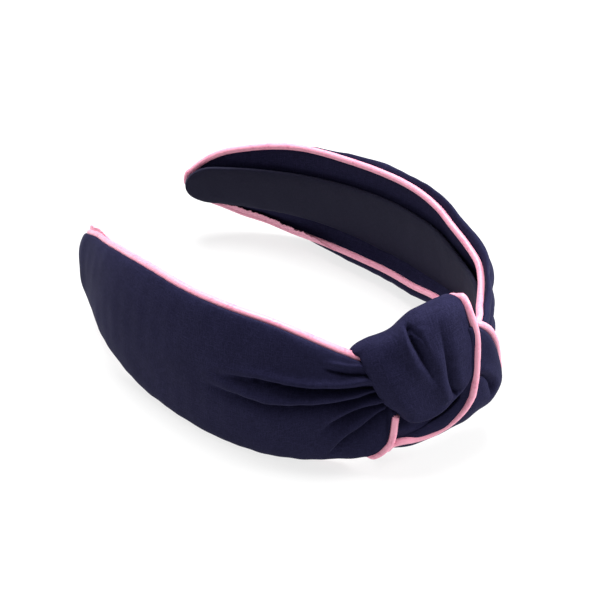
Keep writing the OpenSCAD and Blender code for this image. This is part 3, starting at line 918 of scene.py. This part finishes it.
def strand():
    """Second strand, which comes out from under the wrap."""
    turns = ring_turns(42, 268, 215)
    share = np.linspace(0, 1, 80)
    turn, share = np.meshgrid(turns, share, indexing="ij")
    left = wrap_at(turn, 1.0)[1] - 2.5
    right = through(turn, STRAND_RIGHT)
    a = left + (right - left) * share
    wide = (right - left) * PER_DEGREE
    x, v = a * PER_DEGREE, knot_ring(a, turn)[1]
    far, along = from_line(x, v, STRAND_FOLD)
    fold = (0.5 * np.exp(-((far - 2) / 1.6) ** 2) - 2.0 * np.exp(-np.abs(far) / 0.9)) * smooth(along / 0.1)
    fold = fold * smooth((1 - along) / 0.3)
    rise = -1.2 + 1.6 * (1 - (2 * share - 1) ** 4) + fold + 0.2 * ripple(x, v, 11, 72)
    rise = rise + 2.0 * (round_edge((1 - share) * wide, 2.4) - 1) - 3 * smooth((turn - 246) / 20)
    front = knot_point(a, turn, rise)
    back = knot_point(a, turn, rise - CLOTH)
    return thick_sheet("knot_strand_crepe", front[:, ::-1], back[:, ::-1], crepe)


def strand_piping():
    """Satin cord along the second strand's right edge."""
    turns = np.linspace(42, 262, 275)
    a = through(turns, STRAND_RIGHT) + 0.9
    path = knot_point(a, turns, -1.6 - 3 * smooth((turns - 246) / 20))
    return tube("knot_strand_satin", path, SATIN_R, satin, 18, 0.6, 0.02, 82)


def knot_roll():
    """Wadding rolled inside the wrap, over the crown."""
    start, end = -70, 80
    first, last = 0.15, 0.6
    under = -4.2
    turns = ring_turns(start, end, 90)
    share = np.linspace(first, last, 40)
    u, share = np.meshgrid(turns, share, indexing="ij")
    turn, a, _ = wrap_at(u, share)
    edge = np.minimum(share - first, last - share) / 0.12
    thick = 1.2 * round_edge(np.minimum(edge, np.minimum(u - start, end - u) / 12), 1.0) + 0.02
    front = knot_point(a, turn, under + thick)
    back = knot_point(a, turn, under - 0.5 * thick)
    return thick_sheet("knot_roll", front[:, ::-1], back[:, ::-1], wadding)


# ---- Assembly ----

def hoop_point(a):
    """Point on the hoop line at hoop angle a, in metres."""
    return tuple(at(a, 0, 0) * MM)


def on_arm(piece, left):
    """The piece follows the crown under the knot and its arm beyond the flexing line."""
    # Bakes the piece's transform into its mesh; the hoop points at FLEX_START and FLEX_END are worked out
    # but not used.
    sign = -1 if left else 1
    hoop_point(sign * FLEX_START)
    hoop_point(sign * FLEX_END)
    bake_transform(piece)


# Both arms' cloths run on under the knot. The crown's own nodes are named once, with the right arm's
for is_left in (True, False):
    side = "left" if is_left else "right"
    crown = [] if is_left else ["sash_crown"]
    panel = outer_panel(is_left)
    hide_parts(f"sash_outer_{side}", *crown)
    on_arm(panel, is_left)
    inside = facing_panel(is_left)
    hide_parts(f"sash_facing_{side}")
    on_arm(inside, is_left)
    for is_low in (False, True):
        level = "lower" if is_low else "upper"
        cord = piping(is_left, is_low)
        crown = [] if is_left else [f"piping_crown_{level}"]
        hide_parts(f"piping_{level}_{side}", *crown)
        on_arm(cord, is_left)
    sock = sleeve(is_left)
    crown = [] if is_left else ["sleeve_crown"]
    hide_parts(f"sleeve_{side}", *crown)
    on_arm(sock, is_left)
    raw = flange(is_left)
    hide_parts(f"piping_flange_{side}")
    on_arm(raw, is_left)
    ends = tip_stitches(is_left)
    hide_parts(f"tip_stitches_{side}")
    on_arm(ends, is_left)
    pad = padding(is_left)
    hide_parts(f"sash_padding_{side}")
    on_arm(pad, is_left)

for part, cloth_piece, cord in (("wrap", wrap(), wrap_piping()), ("strand", strand(), strand_piping())):
    for made, cad_node, slot in ((cloth_piece, f"knot_{part}", "crepe"),
                                 (cord, f"knot_{part}_piping", "satin")):
        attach(made, "crown")
        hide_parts(cad_node)

roll = knot_roll()
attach(roll, "crown")
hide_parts("knot_wadding")

CAD_FINISH = {"core": plastic, "knot_stitches": thread}
for name, cad_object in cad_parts.items():
    for start, finish in CAD_FINISH.items():
        if name.startswith(start):
            cad_object.data.materials.clear()
            cad_object.data.materials.append(finish)


# ---- Floor, light and camera ----

def floor():
    """Pale floor, lit mostly by its own glow, that takes the object's shadow."""
    material, shader = new_material("pale_floor", (0.2, 0.2, 0.2), 0.9, Emission_Strength=0.76)
    shader.inputs["Emission Color"].default_value = (1, 1, 1, 1)
    mesh = bpy.data.meshes.new("floor")
    far = 3.0
    mesh.from_pydata([(-far, -far, 0), (far, -far, 0), (far, far, 0), (-far, far, 0)], [], [(0, 1, 2, 3)])
    mesh.materials.append(material)
    plane = bpy.data.objects.new("floor", mesh)
    bpy.context.scene.collection.objects.link(plane)


def area_light(name, place, size, power):
    """Square lamp at place, facing the origin."""
    lamp = bpy.data.lights.new(name, "AREA")
    lamp.size = size
    lamp.energy = power
    lamp_object = bpy.data.objects.new(name, lamp)
    lamp_object.location = place
    lamp_object.rotation_euler = (-Vector(place)).to_track_quat("-Z", "Y").to_euler()
    bpy.context.scene.collection.objects.link(lamp_object)


def camera():
    """Camera above and to the left of the knot, aimed near the middle of the hoop."""
    azimuth, elevation, distance = math.radians(-53.55), math.radians(39.6), 0.420
    target = Vector((-0.0035, -0.0014, 0.0234))
    back = Vector((math.sin(azimuth) * math.cos(elevation), -math.cos(azimuth) * math.cos(elevation),
                   math.sin(elevation)))
    lens = bpy.data.cameras.new("camera")
    lens.lens = 68.6
    lens.sensor_width = 36
    view = bpy.data.objects.new("camera", lens)
    view.location = target + back * distance
    view.rotation_euler = back.to_track_quat("Z", "Y").to_euler()
    bpy.context.scene.collection.objects.link(view)
    bpy.context.scene.camera = view


def white_room(strength):
    """Even white light from all round, shown with the Standard view."""
    world = bpy.data.worlds.new("studio")
    world.use_nodes = True
    background = world.node_tree.nodes["Background"]
    background.inputs["Color"].default_value = (1, 1, 1, 1)
    background.inputs["Strength"].default_value = strength
    bpy.context.scene.world = world
    bpy.context.scene.view_settings.view_transform = "Standard"


white_room(0.34)
floor()
area_light("overhead", (0.25, 0.25, 1.3), 0.7, 30.0)
area_light("right", (0.62, -0.75, 0.55), 0.35, 14.0)
area_light("back", (-0.25, 1.0, 0.4), 0.4, 3.5)
camera()
